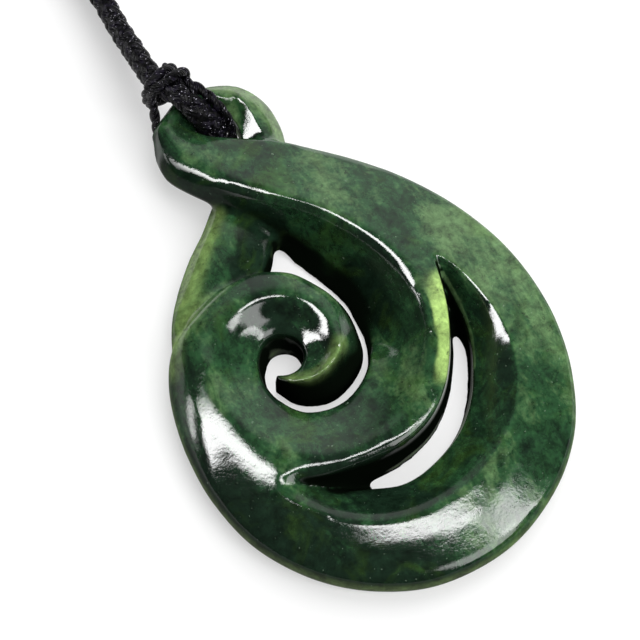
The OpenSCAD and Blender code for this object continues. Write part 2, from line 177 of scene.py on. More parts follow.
def framesAlong(line):
    # Two directions across the line at each point, carried along without twisting
    along = np.gradient(line, axis=0)
    along /= np.linalg.norm(along, axis=1)[:, None]
    side = np.cross(along[0], (0, 0, 1))
    side /= np.linalg.norm(side)
    sides = []
    for direction in along:
        side = side - direction * side.dot(direction)
        side /= np.linalg.norm(side)
        sides.append(side)
    sides = np.array(sides)
    return along, sides, np.cross(along, sides)


def addStrand(bm, uvLayer, centre, outward, along, size, places, strand, build):
    # One strand: an oval section, flat against the middle of the cord, swept along its own centre line
    across = np.cross(along, outward)
    across /= np.linalg.norm(across, axis=1)[:, None]
    sides = build["sides"]
    angles = np.arange(sides) * 2 * math.pi / sides
    rings = []
    for i, middle in enumerate(centre):
        fromEnd = min(i, len(centre) - 1 - i)
        shrink = size[i] * (roundedEnd[fromEnd] if fromEnd < len(roundedEnd) else 1)
        rings.append([
            bm.verts.new(middle + across[i] * math.cos(a) * strand["width"] * shrink / 2
                         + outward[i] * math.sin(a) * strand["thickness"] * shrink / 2)
            for a in angles
        ])
    for i in range(len(rings) - 1):
        for k in range(sides):
            nextK = (k + 1) % sides
            face = bm.faces.new((rings[i][k], rings[i][nextK], rings[i + 1][nextK], rings[i + 1][k]))
            face.smooth = True
            corners = ((k, i), (k + 1, i), (k + 1, i + 1), (k, i + 1))
            for loop, (around, step) in zip(face.loops, corners):
                loop[uvLayer].uv = (around / sides, places[step] / build["plyLength"])
    bm.faces.new(reversed(rings[0]))
    bm.faces.new(rings[-1])


def addCord(name, route, build, strands):
    # A cord of several strands, each given by its angle and distance from the middle along the length
    line = smoothRoute(toFrame(route))
    points, places = placesAlong(line, build["fineLength"], build["fineStep"], build["coarseStep"])
    along, sideways, upwards = framesAlong(points)
    bm = bmesh.new()
    uvLayer = bm.loops.layers.uv.new("strand")
    size = np.interp(places, *build.get("swell", ((0, 1), (1, 1))))
    for strand in strands(build):
        angle = strand["angle"](places)[:, None]
        distance = (strand["distance"](places) * size)[:, None]
        outward = sideways * np.cos(angle) + upwards * np.sin(angle)
        centre = points + outward * distance
        strandAlong = np.gradient(centre, axis=0)
        strandAlong /= np.linalg.norm(strandAlong, axis=1)[:, None]
        outward = outward - strandAlong * np.sum(outward * strandAlong, axis=1)[:, None]
        outward /= np.linalg.norm(outward, axis=1)[:, None]
        addStrand(bm, uvLayer, centre, outward, strandAlong, size, places, strand, build)
    mesh = bpy.data.meshes.new(name)
    bm.to_mesh(mesh)
    bm.free()
    piece = bpy.data.objects.new(name, mesh)
    bpy.context.scene.collection.objects.link(piece)
    return piece


def plaited(build):
    # Strands that wind both ways, pass over and under each other and hide a straight core
    turn = 2 * math.pi / build["period"]
    count = build["strands"] // 2
    for way in (1, -1):
        for i in range(count):
            yield {
                "angle": lambda s, i=i, way=way: way * turn * s + i * 2 * math.pi / count,
                "distance": lambda s, way=way: (build["middle"]
                                                + way * build["weave"] * np.cos(count * turn * s)),
                "width": build["width"],
                "thickness": build["thickness"],
            }
    core = build["core"]
    yield {"angle": np.zeros_like, "distance": np.zeros_like, "width": core, "thickness": core}


def twisted(build):
    # Two strands laid round each other
    turn = 2 * math.pi / build["period"]
    for i in (0, 1):
        yield {
            "angle": lambda s, i=i: turn * s + i * math.pi,
            "distance": lambda s: np.full_like(s, build["middle"]),
            "width": build["width"],
            "thickness": build["thickness"],
        }


# Widths of a strand's last rings, which draw in so that the end is round
roundedEnd = (0.35, 0.75, 0.93)
neckPlait = {
    "strands": 8,
    "period": 8.8 * millimetre,     # length of one full turn of a strand
    "middle": 0.94 * millimetre,    # mean distance of the strands from the plait's middle
    "weave": 0.18 * millimetre,     # how far they pass over and under
    "width": 1.26 * millimetre,
    "thickness": 0.58 * millimetre,
    "core": 1.5 * millimetre,
    # Fuller where it is pulled into the eye: distances from that end and sizes there
    "swell": ((7 * millimetre, 13 * millimetre), (1.22, 1.0)),
    "plyLength": 1.6 * millimetre,  # length of one turn of the fibres in a strand
    "sides": 8,
    "fineLength": 75 * millimetre,  # the stretch that is seen from near
    "fineStep": 0.25 * millimetre,
    "coarseStep": 0.6 * millimetre,
}
sideTwist = {
    "period": 3.6 * millimetre,
    "middle": 0.30 * millimetre,
    "width": 0.90 * millimetre,
    "thickness": 0.82 * millimetre,
    "plyLength": 0.9 * millimetre,
    "sides": 12,
    "fineLength": 60 * millimetre,
    "fineStep": 0.12 * millimetre,
    "coarseStep": 0.12 * millimetre,
}
# The knot's turns are pulled flatter and are laid more loosely
hitchTwist = dict(sideTwist, period=4.2 * millimetre, middle=0.24 * millimetre,
                  width=0.92 * millimetre, thickness=0.80 * millimetre)

neckCord = addCord("plaited_neck_cord", neckRoute, neckPlait, plaited)
sideStrand = addCord("twisted_side_strand", sideRoute, sideTwist, twisted)
hitchStrand = addCord("twisted_hitch_strand", hitchRoute, hitchTwist, twisted)
for piece, node in ((neckCord, "neck_cord"), (sideStrand, "side_strand"), (hitchStrand, "hitch_strand")):
    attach(piece, "root")
    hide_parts(node)
stage("cords")


# Lines on the carved stone, which wear, crisp edges, tones and glow follow
stoneLines = {
    "koru's crest": [
        (-1.2, -1.1, 8), (-1.7, 0.9, 8), (-2.9, 2.8, 8), (-4.7, 4.2, 8), (-7, 5, 8), (-9.6, 5.1, 8),
        (-12.1, 4.5, 8), (-14.3, 3.1, 7.9),
    ],
    "koru's rim": [
        (-18.8, 4.8, 5.2), (-16, 6.3, 6), (-13, 7.8, 6.1), (-9.4, 8.6, 6.2), (-5.7, 8.4, 6.3),
        (-2.2, 6.6, 6.4), (-0.1, 4.1, 6.4), (1.3, 1.5, 6.4),
    ],
    "koru's tip": [
        (-8.7, -5.7, 5.6), (-6.7, -6.8, 6.3), (-4.7, -6.7, 6.9), (-3.1, -6, 7), (-1.6, -4.9, 6.9),
    ],
    "curl's crest": [
        (-9, -5.2, 6), (-7.5, -6.4, 6.8), (-5.6, -6.8, 7.2), (-3.3, -6.1, 7.5), (-1.8, -4.8, 7.6),
    ],
    "curl's rim": [
        (-7.8, -7.5, 5.3), (-4.8, -8.5, 5.2), (-1.6, -7.6, 5.1), (0.8, -5.7, 5.5), (1.5, -3.1, 6.2),
    ],
    "ring's crest": [
        (-15.8, 1.3, 7.8), (-16.6, -0.8, 7.6), (-16.8, -3.4, 7.5), (-16.4, -6.4, 7.4), (-15.3, -9.6, 7.3),
        (-13, -12.8, 7.3), (-9.9, -15.1, 7.3),
    ],
    "arm's crest": [
        (-8.1, 28.9, 6.9), (-7.9, 24.6, 7.3), (-5.1, 20.5, 8), (-1, 16, 8.4), (3.9, 10.7, 8.5),
        (7.6, 4.5, 8.5), (9.2, -2.4, 8.5),
    ],
    "arm's end": [(-9, 27.4, 6.4), (-8, 24.6, 7.2), (-6, 21.8, 7.7)],
    "arm's lower lip": [
        (-1, 10.6, 1.2), (-2.3, 12.9, 2.6), (-3.8, 15.2, 4), (-5.3, 17.4, 4.6), (-6.9, 19.6, 4.8),
        (-8.4, 21.8, 4.8), (-9.5, 24.1, 4.8), (-9.7, 26.4, 4.8), (-9.2, 28.5, 4.8),
    ],
    "arm's lower side": [
        (-2.3, 12.9, 4), (-4.2, 15.8, 5.5), (-6.2, 18.9, 6), (-7.9, 22, 6), (-9, 24.6, 5.8),
    ],
    "under the arm": [
        (0.1, 8.1, 0.9), (-1, 10.6, 1.2), (-2.3, 12.9, 2.6), (-3.8, 15.2, 4), (-5.3, 17.4, 4.6),
    ],
    "back strand's crest": [
        (-14.8, 4.2, 4.8), (-13.3, 7.5, 5), (-11.2, 10.3, 5.2), (-9.1, 12.8, 5.2), (-6.7, 15.3, 5),
        (-4.3, 17.7, 4.6),
    ],
    "back strand's left side": [
        (-7.5, 16.8, 3.9), (-10.1, 14.4, 4.1), (-12.7, 11.3, 4.4), (-15, 8.3, 4.4), (-17, 5.9, 4.1),
        (-18.5, 2.5, 3.5),
    ],
    "back strand's right side": [(-8, 5, 3.5), (-6, 8, 4), (-4, 11, 4), (-2, 14, 4)],
    "back strand's right edge": [(-5.4, 7.7, 3.2), (-3.8, 9, 3.2), (-2.4, 10.7, 3.2), (-0.7, 13, 3)],
    "loop's inner edge": [
        (0.1, 23.2, 3.6), (0.8, 24.6, 3.8), (1.2, 26.2, 4), (1.2, 27.8, 4.2), (0.5, 28.8, 4.5),
    ],
    "loop's outer side": [(5.6, 23, 3.8), (5.9, 26, 4), (5, 29, 4.3), (3, 31, 4.8), (0.3, 32.5, 5.3)],
    "eye's right wall": [(1.2, 29, 4), (1.4, 27.8, 3.4), (1.3, 26.2, 3), (1, 24.8, 2.8)],
    "crescent's rim": [
        (13.2, 0.2, 8), (14.1, -1.4, 7.6), (15.1, -3.8, 7.4), (15.8, -6.9, 7.2), (16.2, -10.4, 7.1),
        (16, -14, 7), (14.7, -17.8, 6.9), (11.4, -22.2, 6.8), (6, -25.5, 6.8), (0.4, -26.9, 6.8),
        (-5.2, -26.5, 6.8), (-9.8, -24.6, 6.8), (-13.1, -21.6, 6.7), (-15, -18.8, 6.7), (-16, -16.9, 7),
    ],
    "crescent's step": [
        (13.1, -2, 5.9), (13.3, -4.5, 4.8), (13.2, -7.3, 4.2), (12.6, -10.2, 3.8), (11.2, -13.2, 3.6),
    ],
    "crescent's slope": [
        (14.4, -9, 5.6), (14.3, -12, 5.4), (12.8, -16.5, 5.2), (9, -20.5, 5), (4, -23.5, 4.9),
        (-1, -24.5, 4.9), (-6, -23.5, 4.9), (-10, -21.8, 5.3),
    ],
    "crescent's slope along the step": [
        (13.4, -2, 5.9), (13.9, -4.5, 5.2), (14, -7.3, 4.8), (13.4, -10.2, 4.4), (12, -13.2, 4.2),
        (9.5, -16.6, 4), (6, -19.8, 4), (1.5, -22, 4), (-3, -22.5, 4), (-8, -21.5, 4.2),
    ],
    "crescent's left tip": [(-16.2, -17.1, 6.4), (-15, -17.5, 5.8)],
    "facet beside the crescent": [
        (12, -4.6, 8), (11.2, -6.2, 8.1), (9.9, -8.3, 8.2), (8.4, -10.6, 8.2), (7.2, -12.3, 8),
    ],
}
# The stone's shape: a copy of the CAD solid, remeshed finely and polished until only the carved ridges stay
# crisp. Reaches and depths along the lines are in millimetres.
stoneShape = {
    "voxel": 0.28 * millimetre,
    "creaseDegrees": 38,            # turn at the top of a wall that stays an edge
    "wall": 0.4,                    # a face this upright or more is a wall
    "creaseStep": 0.2 * millimetre,
    "creaseReach": 1.0 * millimetre,
    "creaseKeep": 0.10,             # share of the polish that such an edge still gets
    "pull": 0.6,                    # share of the way to its neighbours that a point moves in one pass
    "firstPasses": 4,               # over all of the stone, to take off the remesh's steps
    "passes": 24,
    "evenPasses": 30,               # that spread what is given back
    # Ridges worn rounder than the rest, and whether the wear lowers them too
    "worn": {
        "koru's crest": {"reach": 3.6, "passes": 160, "lowers": True},
        "ring's crest": {"reach": 3.4, "passes": 100, "lowers": False},
        "arm's crest": {"reach": 1.3, "passes": 40, "lowers": False},
        "arm's end": {"reach": 2.4, "passes": 90, "lowers": True},
        "back strand's crest": {"reach": 2.2, "passes": 70, "lowers": False},
        "arm's lower lip": {"reach": 1.8, "passes": 60, "lowers": False},
        "back strand's right edge": {"reach": 1.5, "passes": 60, "lowers": False},
    },
    # Carved edges that stay crisp, and how strong a painted highlight, a paler line, is along each
    "crisp": {
        "crescent's rim": {"reach": 1.1, "pale": 0.3},
        "crescent's step": {"reach": 0.8, "pale": 0.9},
        "loop's inner edge": {"reach": 1.3, "pale": 0.0},
        "curl's crest": {"reach": 0.9, "pale": 0.4},
        "curl's rim": {"reach": 0.8, "pale": 0.4},
    },
    # Facets ground flat: a point on each, the way it faces, how much is ground off and how much is filled
    "ground": {
        "eye's right side": {"middle": (2, 26.6, 4.7), "facing": (-0.55, -0.07, 0.83), "reach": 4.4,
                             "deep": 1.2, "filled": 0.6},
    },
}


def remeshed(node, voxel):
    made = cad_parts[node].copy()
    made.data = made.data.copy()
    made.name = "polished_" + node
    made.animation_data_clear()
    bpy.context.scene.collection.objects.link(made)
    made.hide_render = False
    made.hide_viewport = False
    for key in list(made.keys()):
        del made[key]
    change = made.modifiers.new("remesh", "REMESH")
    change.mode = "VOXEL"
    change.voxel_size = voxel
    fine = bpy.data.meshes.new_from_object(made.evaluated_get(bpy.context.evaluated_depsgraph_get()))
    made.modifiers.clear()
    made.data = fine
    return made


def creaseTree(mesh, look):
    # Points along the edges between a wall and another face
    bm = bmesh.new()
    bm.from_mesh(mesh)
    tiny = 0.01 * millimetre
    bmesh.ops.remove_doubles(bm, verts=bm.verts, dist=tiny)
    bmesh.ops.dissolve_degenerate(bm, dist=tiny, edges=bm.edges)
    sharp = math.radians(look["creaseDegrees"])
    points = []
    for edge in bm.edges:
        upright = any(abs(face.normal.z) < look["wall"] for face in edge.link_faces)
        if upright and len(edge.link_faces) == 2 and edge.calc_face_angle(0) > sharp:
            a, b = (v.co for v in edge.verts)
            count = max(1, int((b - a).length / look["creaseStep"]))
            points += [a.lerp(b, k / count) for k in range(count + 1)]
    bm.free()
    tree = KDTree(len(points))
    for i, point in enumerate(points):
        tree.insert(point, i)
    tree.balance()
    return tree


def readVectors(items, name):
    values = np.empty(len(items) * 3)
    items.foreach_get(name, values)
    return values.reshape(-1, 3)


def distanceToLine(places, name):
    # Distance of each place from a curve through the points of a line on the stone
    points = smoothRoute(toFrame(stoneLines[name]), 4)
    nearest = np.full(len(places), np.inf)
    for a, b in zip(points[:-1], points[1:]):
        share = np.clip((places - a) @ (b - a) / ((b - a) @ (b - a)), 0, 1)
        nearest = np.minimum(nearest, np.linalg.norm(places - a - share[:, None] * (b - a), axis=1))
    return nearest


def smoothStep(values, low, high):
    share = np.clip((values - low) / (high - low), 0, 1)
    return share * share * (3 - 2 * share)


def readEdges(mesh):
    # The two ends of each edge
    ends = np.empty(len(mesh.edges) * 2, int)
    mesh.edges.foreach_get("vertices", ends)
    return ends.reshape(-1, 2).T


def neighbourMean(edges, values):
    # Mean of each point's neighbours along the edges
    a, b = edges
    degree = np.bincount(edges.ravel(), minlength=len(values)).astype(float)
    total = np.zeros_like(values)
    np.add.at(total, a, values[b])
    np.add.at(total, b, values[a])
    return (total.T / degree).T


def polish(piece, look, creases, edges):
    mesh = piece.data
    places = readVectors(mesh.vertices, "co")
    before = places.copy()

    # The polish hardly reaches the edges that keep their shape
    kept = look["creaseKeep"]
    distance = np.array([creases.find(p)[2] for p in places])
    share = kept + (1 - kept) * smoothStep(distance, 0, look["creaseReach"])
    for name, edge in look["crisp"].items():
        away = smoothStep(distanceToLine(places, name), 0.2 * millimetre, edge["reach"] * millimetre)
        share = np.minimum(share, kept + (1 - kept) * away)
    worn = []
    for name, ridge in look["worn"].items():
        reach = ridge["reach"] * millimetre
        near = 1 - smoothStep(distanceToLine(places, name), 0.3 * reach, reach)
        worn.append((ridge["passes"], near, ridge["lowers"]))

    for _ in range(look["firstPasses"]):
        places += (neighbourMean(edges, places) - places) * look["pull"]
    for _ in range(look["passes"]):
        places += (neighbourMean(edges, places) - places) * share[:, None] * look["pull"]
    for step in range(max(passes for passes, near, lowers in worn)):
        wear = np.max([near for passes, near, lowers in worn if passes > step], axis=0)
        places += (neighbourMean(edges, places) - places) * wear[:, None] * look["pull"]

    # What the polish took off over a wide area is given back, so that the outline keeps its size
    lowered = np.max([near for passes, near, lowers in worn if lowers], axis=0)
    lost = (before - places) * (1 - lowered)[:, None]
    for _ in range(look["evenPasses"]):
        lost = neighbourMean(edges, lost)
    places += lost

    for facet in look["ground"].values():
        facing = np.array(facet["facing"]) / np.linalg.norm(facet["facing"])
        offset = places - toFrame(facet["middle"])
        above = offset @ facing
        reach, deep, filled = (facet[name] * millimetre for name in ("reach", "deep", "filled"))
        share = 1 - smoothStep(np.linalg.norm(offset, axis=1), 0.45 * reach, reach)
        share *= 1 - smoothStep(above, 0.6 * deep, deep)
        share *= 1 - smoothStep(-above, 0.5 * filled, filled)
        places -= facing * (above * share)[:, None]

    places[:, 2] = np.maximum(places[:, 2], 0)
    mesh.vertices.foreach_set("co", places.ravel())
    mesh.update()
    mesh.shade_smooth()


stone = remeshed("pendant_stone", stoneShape["voxel"])
stage(f"stone remeshed, {len(stone.data.vertices)} vertices")
stoneEdges = readEdges(stone.data)
polish(stone, stoneShape, creaseTree(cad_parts["pendant_stone"].data, stoneShape), stoneEdges)
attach(stone, "root")
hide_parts("pendant_stone")
stage("stone polished")


# The stone's tones, 0 its darkest green and 1 its palest: its own cloudiness, with painted shade and painted
# light where noted.
# A stripe is a stretch along a line. It fades over the share "soft" of its reach, and it shows where the
# stone faces one way, from the cosine "least" on and in full from "turn" further on.
stoneTones = {
    "plain": 0.47,
    # Painted shade: carved slopes that lean towards the disc's lower left, away from the light, are darker
    "slopes": -0.42,
    "shadedLean": (-0.8, -0.6, 0.0),
    "edgeHighlightWidth": 0.5,       # width in millimetres of the painted highlight, a pale line along a crisp edge
    "patches": {
        # Where, how far it reaches and how much it changes the tone
        "right shoulder": ((18, -1), 10, 0.32),
        "right rim": ((21, -13), 6, 0.2),
        "arm": ((9, 13), 9, 0.05),
        # A darker patch on the arm
        "arm's smoky patch": ((-2.5, 17.5), 4, -0.35),
        "foot": ((-9, -30), 13, -0.32),
        "lower left": ((-19, -18), 9, -0.24),
        "disc's left side": ((-20, -3), 6, 0.2),
        "lower right": ((12, -28), 9, -0.12),
        "disc's band": ((-7, -12), 9, -0.22),
        "loop": ((4, 29), 6, 0.3),
        # Painted shade, where the strand lies under the arm
        "strand under the arm": ((-5, 11), 5, -0.35),
    },
    # Stretches that are darker or paler: painted shade on sides that face away from the light and under the
    # arm, painted light on the koru's rim and the eye's right wall
    "stripes": {
        "crescent's slope": {"reach": 3.6, "soft": 0.4, "facing": (-0.8, 0.6, 0), "least": 0.02, "turn": 0.2,
                             "strength": -0.38},
        "koru's rim": {"reach": 1.8, "soft": 0.5, "facing": (0, 0, 1), "least": 0.0, "turn": 0.3,
                       "strength": 0.3},
        "back strand's right side": {"reach": 3.6, "soft": 0.5, "facing": (0, 0, 1), "least": 0.0,
                                     "turn": 0.3, "strength": -1.1},
        "eye's right wall": {"reach": 2.2, "soft": 0.6, "facing": (-0.9, -0.4, 0), "least": 0.2, "turn": 0.3,
                             "strength": 0.6},
        "arm's lower side": {"reach": 2.6, "soft": 0.5, "facing": (-0.7, -0.7, 0), "least": 0.2, "turn": 0.3,
                             "strength": -0.6},
    },
    # Painted light: places where light comes through the stone, shown as a yellow-green glow
    "glow": {
        "facet beside the crescent": {"reach": 3.2, "soft": 0.7, "facing": (1, 0, 0), "least": -0.04,
                                      "turn": 0.12, "strength": 0.88},
        "back strand's left side": {"reach": 3.4, "soft": 0.8, "facing": (-0.7, 0.7, 0), "least": -0.05,
                                    "turn": 0.5, "strength": 0.4},
        "koru's tip": {"reach": 2.0, "soft": 1.0, "facing": (0, 0, 1), "least": 0.0, "turn": 0.6,
                       "strength": 0.35},
        "loop's outer side": {"reach": 2.6, "soft": 0.8, "facing": (0.8, 0.5, 0), "least": 0.0, "turn": 0.4,
                              "strength": 0.16},
    },
    # Places beside a wall that the light still reaches
    "lit": {
        "crescent's slope along the step": {"reach": 3.4, "soft": 0.4, "facing": (-0.8, 0.6, 0),
                                            "least": -0.1, "turn": 0.2, "strength": 0.6},
        "eye's right wall": {"reach": 2.2, "soft": 0.6, "facing": (-0.9, -0.4, 0), "least": 0.2, "turn": 0.3,
                             "strength": 0.9},
    },
    # Places that the polishing wheel doesn't reach
    "dull": {
        "arm's lower side": {"reach": 2.6, "soft": 0.5, "facing": (-0.7, -0.7, 0), "least": 0.2, "turn": 0.3,
                             "strength": 0.85},
        "under the arm": {"reach": 1.6, "soft": 0.5, "strength": 1.0},
        "crescent's left tip": {"reach": 1.3, "soft": 0.5, "strength": 0.9},
        "back strand's right side": {"reach": 3.2, "soft": 0.5, "facing": (0, 0, 1), "least": 0.0,
                                     "turn": 0.3, "strength": 0.5},
        "back strand's right edge": {"reach": 1.4, "soft": 0.5, "strength": 1.0},
    },
    # Sides near the table, and the side that faces away from the disc's middle: heights in millimetres up to
    # which they are dull in full, and above which they aren't. Along the sides near the table the stone also
    # has painted light coming through it
    "lowSides": (2.5, 4.5),
    "outerSide": (5.5, 7.5),
    "discMiddle": (0, -10, 0),
    "sideDull": 0.85,
    "sideGlow": 0.18,
    "recessReach": 9.0 * millimetre,    # how far away a wall still shades the stone
    "recessSpread": 1.2,                # lean of the rays that look for it
    "recessPasses": 4,
}


def stripeShare(places, normals, name, stripe):
    reach = stripe["reach"] * millimetre
    share = 1 - smoothStep(distanceToLine(places, name), (1 - stripe["soft"]) * reach, reach)
    if "facing" in stripe:
        least = stripe["least"]
        share *= smoothStep(normals @ np.array(stripe["facing"]), least, least + stripe["turn"])
    return share * stripe["strength"]


def toneOf(places, normals, look, crisp):
    tone = np.full(len(places), look["plain"])
    # Painted shade on slopes that lean away from the light
    tone += look["slopes"] * smoothStep(normals @ np.array(look["shadedLean"]), 0.1, 0.5)
    for spot, reach, change in look["patches"].values():
        away = np.linalg.norm(places[:, :2] - toFrame((*spot, 0))[:2], axis=1)
        tone += change * (1 - smoothStep(away, 0.2 * reach * millimetre, 1.3 * reach * millimetre))
    # Painted shade and painted light along the stripes
    for name, stripe in look["stripes"].items():
        tone += stripeShare(places, normals, name, stripe)
    # Painted highlight: a pale line along each crisp edge
    width = look["edgeHighlightWidth"] * millimetre
    for name, edge in crisp.items():
        tone += edge["pale"] * (1 - smoothStep(distanceToLine(places, name), 0.2 * width, width))
    return tone


def nearness(mesh, reach, spread):
    # How near another part of the stone is in front of its surface: 1 when it touches, 0 beyond the reach
    tree = BVHTree.FromPolygons([v.co for v in mesh.vertices], [p.vertices for p in mesh.polygons])
    clear = 0.03 * millimetre
    values = np.empty(len(mesh.vertices))
    for i, vertex in enumerate(mesh.vertices):
        ahead = vertex.normal
        side = ahead.orthogonal().normalized() * spread
        other = ahead.cross(side)
        total = 0
        for lean in (ahead, ahead + side, ahead - side, ahead + other, ahead - other):
            hit = tree.ray_cast(vertex.co + ahead * clear, lean.normalized(), reach)
            total += 0 if hit[0] is None else 1 - hit[3] / reach
        values[i] = total / 5
    return values


def paintTones(mesh, look, crisp, edges):
    # Saves the tones on the mesh, for its material to read
    places = readVectors(mesh.vertices, "co")
    normals = readVectors(mesh.vertex_normals, "vector")
    height = places[:, 2] / millimetre
    up = normals[:, 2]

    def strongest(kind):
        return np.max([stripeShare(places, normals, *named) for named in look[kind].items()], axis=0)

    # What stands in front of the stone shades it, but less where it faces up, where light still reaches it
    # and along the crescent's step
    recess = nearness(mesh, look["recessReach"], look["recessSpread"])
    for _ in range(look["recessPasses"]):
        recess = 0.5 * recess + 0.5 * neighbourMean(edges, recess)
    recess *= 1 - 0.6 * smoothStep(up, 0.5, 0.85)
    recess *= 1 - strongest("lit")
    stepAway = distanceToLine(places, "crescent's step")
    recess *= 0.25 + 0.75 * smoothStep(stepAway, 0.1 * millimetre, 0.6 * millimetre)

    # The sides stop where the face and the back begin
    low = 1 - smoothStep(height, *look["lowSides"])
    low *= (1 - smoothStep(up, 0.2, 0.6)) * smoothStep(up, -0.8, -0.5)
    outwards = places[:, :2] - toFrame(look["discMiddle"])[:2]
    outwards /= np.linalg.norm(outwards, axis=1)[:, None]
    outer = smoothStep(np.sum(outwards * normals[:, :2], axis=1), 0.3, 0.5)
    outer *= (1 - smoothStep(height, *look["outerSide"])) * (1 - smoothStep(up, 0.5, 0.8))

    tones = {
        "dull": np.maximum(strongest("dull"), look["sideDull"] * np.maximum(low, outer)),
        "recess": recess,
        "tone": toneOf(places, normals, look, crisp),
        # Painted light through the stone, also along the sides near the table
        "glow": np.maximum(strongest("glow"), look["sideGlow"] * low),
    }
    for name, values in tones.items():
        layer = mesh.attributes.new(name, "FLOAT", "POINT")
        layer.data.foreach_set("value", values.astype(np.float32))


paintTones(stone.data, stoneTones, stoneShape["crisp"], stoneEdges)
stage("stone's tones")


# Polished nephrite: deep green, cloudy and streaked, with painted yellow-green light where light gets
# through it and painted shade on its slopes and in its recesses.
# The polish gives the eye sharp white reflections over a soft dark body.
nephriteLook = {
    "dark": "#122217",
    "middle": "#214026",
    "pale": "#4b6641",
    "deep": "#060b06",       # walls of the piercings, where no light comes back
    # Nearness of other stone from which that colour shows, and shows in full
    "enclosed": (0.06, 0.28),
    "ior": 1.61,
    "gloss": 0.07,           # roughness of the polish
    # Patterns: the size of a patch in millimetres, then the noise's detail, roughness and distortion.
    # The felted grain and the scratches are drawn as coarse as they need to show.
    "patterns": {
        "clouds": (9, 5, 0.55, 0.4),
        "wisps": (2, 8, 0.68, 0.9),
        "grain": (0.5, 3, 0.6, 0),
        "leaves": (6, 6, 0.6, 0.8),
        "glowVeins": (3.5, 5, 0.55, 0.6),
        "mottle": (1.5, 8, 0.72, 0.3),
        "flecks": (0.9, 5, 0.7, 0),
        "dots": (0.45, 2, 0.55, 0),
        "bumps": (3.2, 4, 0.45, 0),
        "scratches": (0.3, 3, 0.7, 0),
    },
    # The wisps are drawn out along one direction of the stone
    "wispTurn": 35,
    "wispScale": (1, 0.4, 1),
    # How much these patterns change the tone
    "changes": {"clouds": 0.6, "wisps": 0.48, "grain": 0.2},
    "mottle": 0.6,           # darkening and lightening over all tones
    # Colours laid over: yellower green that comes and goes, painted light that shines through, dark and pale
    # specks
    "leaves": {"colour": "#3c5a16", "none": 0.5, "full": 0.68, "strength": 0.22},
    "glowVeins": {"colour": "#95b365", "none": 0.1, "full": 0.55},
    "flecks": {"colour": "#0c140c", "none": 0.60, "full": 0.68, "strength": 0.6},
    "dots": {"colour": "#8aa08a", "none": 0.70, "full": 0.76, "strength": 0.3},
    # Soft waves that the wheel leaves, and fine scratches
    "heights": {"bumps": 0.05 * millimetre, "scratches": 0.010 * millimetre},
}


def makeNephrite(look):
    material, tree = startMaterial("polished nephrite")
    place = addNode(tree, "TexCoord").outputs["Object"]
    drawnOut = addNode(tree, "Mapping", {"Vector": place, "Rotation": (0, 0, math.radians(look["wispTurn"])),
                                         "Scale": look["wispScale"]})
    patterns = {}
    for name, (size, detail, roughness, distortion) in look["patterns"].items():
        patterns[name] = addNode(tree, "TexNoise", {
            "Vector": drawnOut if name == "wisps" else place, "Scale": 1 / (size * millimetre),
            "Detail": detail, "Roughness": roughness, "Distortion": distortion,
        })
    saved = {}
    for name in ("tone", "glow", "recess", "dull"):
        saved[name] = addNode(tree, "Attribute", attribute_name=name).outputs["Fac"]

    # A noise runs from about 0.2 to 0.8, and changes the tone by up to its amount either way
    tone = saved["tone"]
    for name, amount in look["changes"].items():
        change = addNode(tree, "MapRange", {"Value": patterns[name], "From Min": 0.2, "From Max": 0.8,
                                            "To Min": -amount, "To Max": amount}, clamp=False)
        tone = addNode(tree, "Math", {0: tone, 1: change}, operation="ADD")
    # Dark up to tone 0, middle at 0.5 and pale from 1 on
    colour = linear(look["dark"])
    for low, over in ((0.0, "middle"), (0.5, "pale")):
        share = addNode(tree, "MapRange", {"Value": tone, "From Min": low, "From Max": low + 0.5})
        colour = addNode(tree, "Mix", {0: share, 6: colour, 7: linear(look[over])}, data_type="RGBA")

    colour = layColour(tree, colour, patterns["leaves"], look["leaves"])
    # Painted light shining through the stone, where the glow marks it
    colour = layColour(tree, colour, patterns["glowVeins"], dict(look["glowVeins"], strength=saved["glow"]))
    mottle = addNode(tree, "MapRange", {"Value": patterns["mottle"], "From Min": 0.32, "From Max": 0.68,
                                        "To Min": 1 - look["mottle"], "To Max": 1 + look["mottle"]})
    greys = addNode(tree, "CombineColor", {0: mottle, 1: mottle, 2: mottle})
    colour = addNode(tree, "Mix", {0: 1.0, 6: colour, 7: greys}, data_type="RGBA", blend_type="MULTIPLY")
    colour = layColour(tree, colour, patterns["flecks"], look["flecks"])
    colour = layColour(tree, colour, patterns["dots"], look["dots"])

    # Painted shade: the deep colour where other stone stands close in front
    low, high = look["enclosed"]
    enclosed = addNode(tree, "MapRange", {"Value": saved["recess"], "From Min": low, "From Max": high},
                       interpolation_type="SMOOTHSTEP")
    colour = addNode(tree, "Mix", {0: enclosed, 6: colour, 7: linear(look["deep"])}, data_type="RGBA")
    # No gloss where the stone is dull, nor in its painted shade
    dullAndShaded = addNode(tree, "Math", {0: enclosed, 1: saved["dull"]}, operation="MAXIMUM")
    coat = addNode(tree, "Math", {0: 1.0, 1: dullAndShaded}, operation="SUBTRACT")
    bumps = addNode(tree, "Bump", {"Height": patterns["bumps"], "Strength": 1.0,
                                   "Distance": look["heights"]["bumps"]})
    scratches = addNode(tree, "Bump", {"Height": patterns["scratches"], "Strength": 1.0,
                                       "Distance": look["heights"]["scratches"], "Normal": bumps})
    shader = addNode(tree, "BsdfPrincipled", {
        "Base Color": colour, "Roughness": 0.5, "Specular IOR Level": 0.0, "IOR": look["ior"],
        "Coat Weight": coat, "Coat IOR": look["ior"], "Coat Roughness": look["gloss"],
        "Normal": scratches, "Coat Normal": scratches,
    })
    addNode(tree, "OutputMaterial", {"Surface": shader})
    return material


stone.data.materials.clear()
stone.data.materials.append(makeNephrite(nephriteLook))

